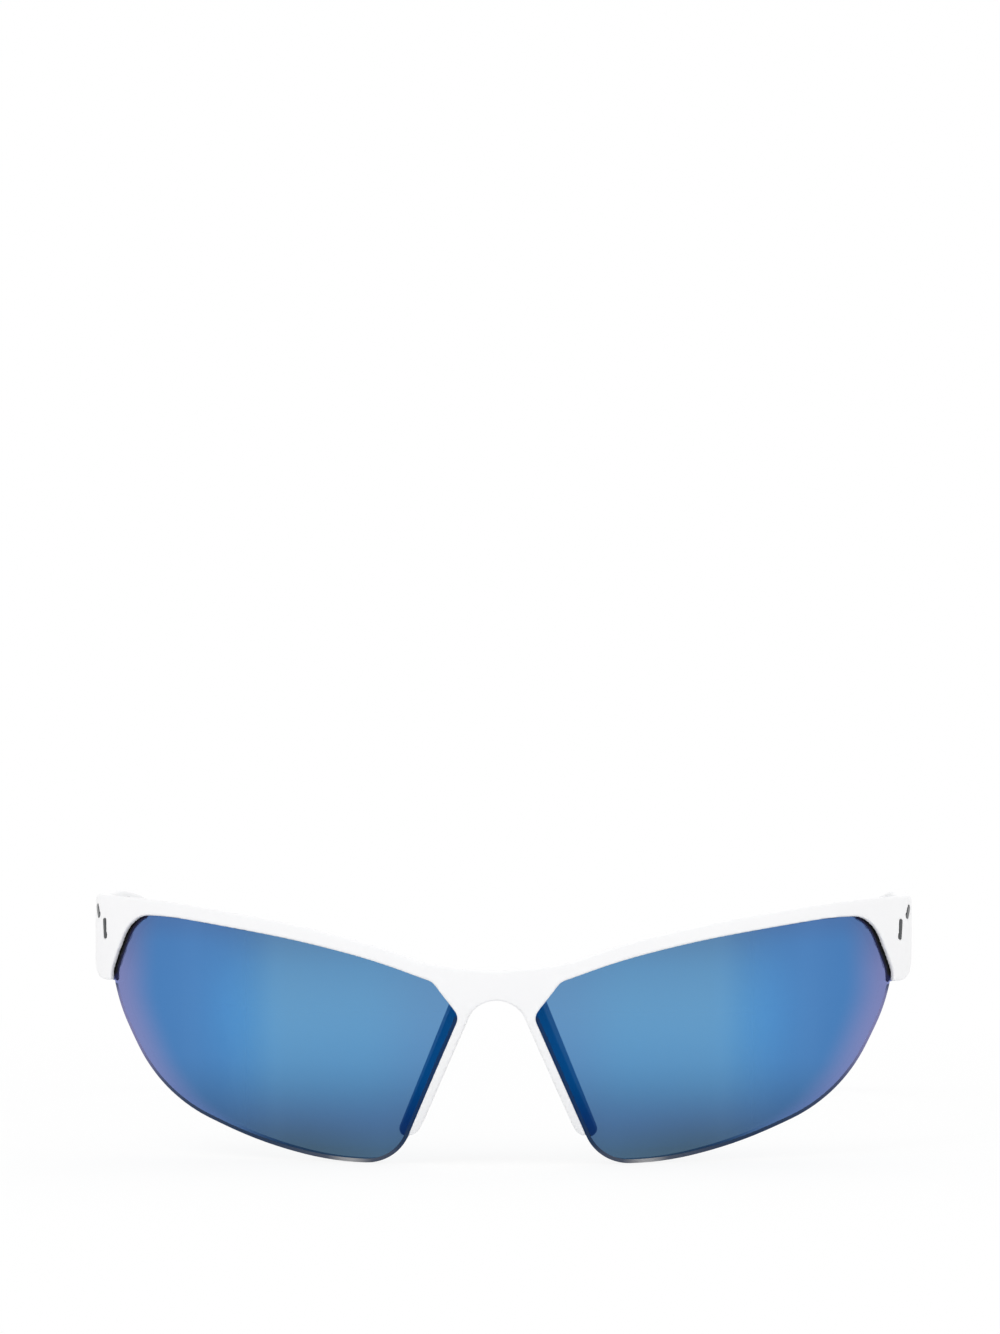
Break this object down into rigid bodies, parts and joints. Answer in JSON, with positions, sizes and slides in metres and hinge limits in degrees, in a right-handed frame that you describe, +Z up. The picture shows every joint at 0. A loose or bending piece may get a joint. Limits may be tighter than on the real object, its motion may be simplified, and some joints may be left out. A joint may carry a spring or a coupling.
{
  "type": "half-rim wraparound sunglasses",
  "caption": "Half-rim wraparound sunglasses with curved blue mirror lenses in a white front, soft nose pads and white temples that fold on screwed barrel hinges.",
  "frame": {"origin": "on the surface the open glasses stand on, under the middle of their bounding box", "axes": "+X to the side that lies on the right when the glasses are seen from the front, +Y back along the temples towards the tips, +Z up; the lenses face -Y"},
  "size_m": [0.1398, 0.1726, 0.0434],
  "materials": {
    "frame_nylon": "satin white moulded nylon",
    "mirror_lens": "blue mirror coating on tinted polycarbonate",
    "gasket_rubber": "matt black",
    "pad_rubber": "soft matt black",
    "dark_inlay": "plain dark grey gloss",
    "hinge_steel": "brushed",
    "screw_steel": "turned and polished",
    "tip_rubber": "soft matt white"
  },
  "bodies": {
    "front": {"front_frame": "frame_nylon", "lens_right": "mirror_lens", "lens_left": "mirror_lens", "lens_gasket_right": "gasket_rubber", "lens_gasket_left": "gasket_rubber", "nose_pad_right": "pad_rubber", "nose_pad_left": "pad_rubber", "end_inlays_right": "dark_inlay", "end_inlays_left": "dark_inlay", "front_hinge_leaf_right": "hinge_steel", "front_hinge_leaf_left": "hinge_steel", "front_leaf_screws_right": "screw_steel", "front_leaf_screws_left": "screw_steel", "hinge_screw_right": "screw_steel", "hinge_screw_left": "screw_steel"},
    "temple_right": {"temple_arm_right": "frame_nylon", "temple_hinge_leaf_right": "hinge_steel", "temple_leaf_screws_right": "screw_steel", "temple_core_wire_right": "hinge_steel", "temple_tip_right": "tip_rubber"},
    "temple_left": {"temple_arm_left": "frame_nylon", "temple_hinge_leaf_left": "hinge_steel", "temple_leaf_screws_left": "screw_steel", "temple_core_wire_left": "hinge_steel", "temple_tip_left": "tip_rubber"}
  },
  "joints": [
    {"name": "fold_right", "type": "hinge", "parent": "front", "child": "temple_right", "pos_m": [0.06582, -0.04171, 0.03933], "axis": [0, 0, 1], "range_deg": [0, 90]},
    {"name": "fold_left", "type": "hinge", "parent": "front", "child": "temple_left", "pos_m": [-0.06582, -0.04171, 0.03933], "axis": [0, 0, -1], "range_deg": [0, 85]}
  ]
}
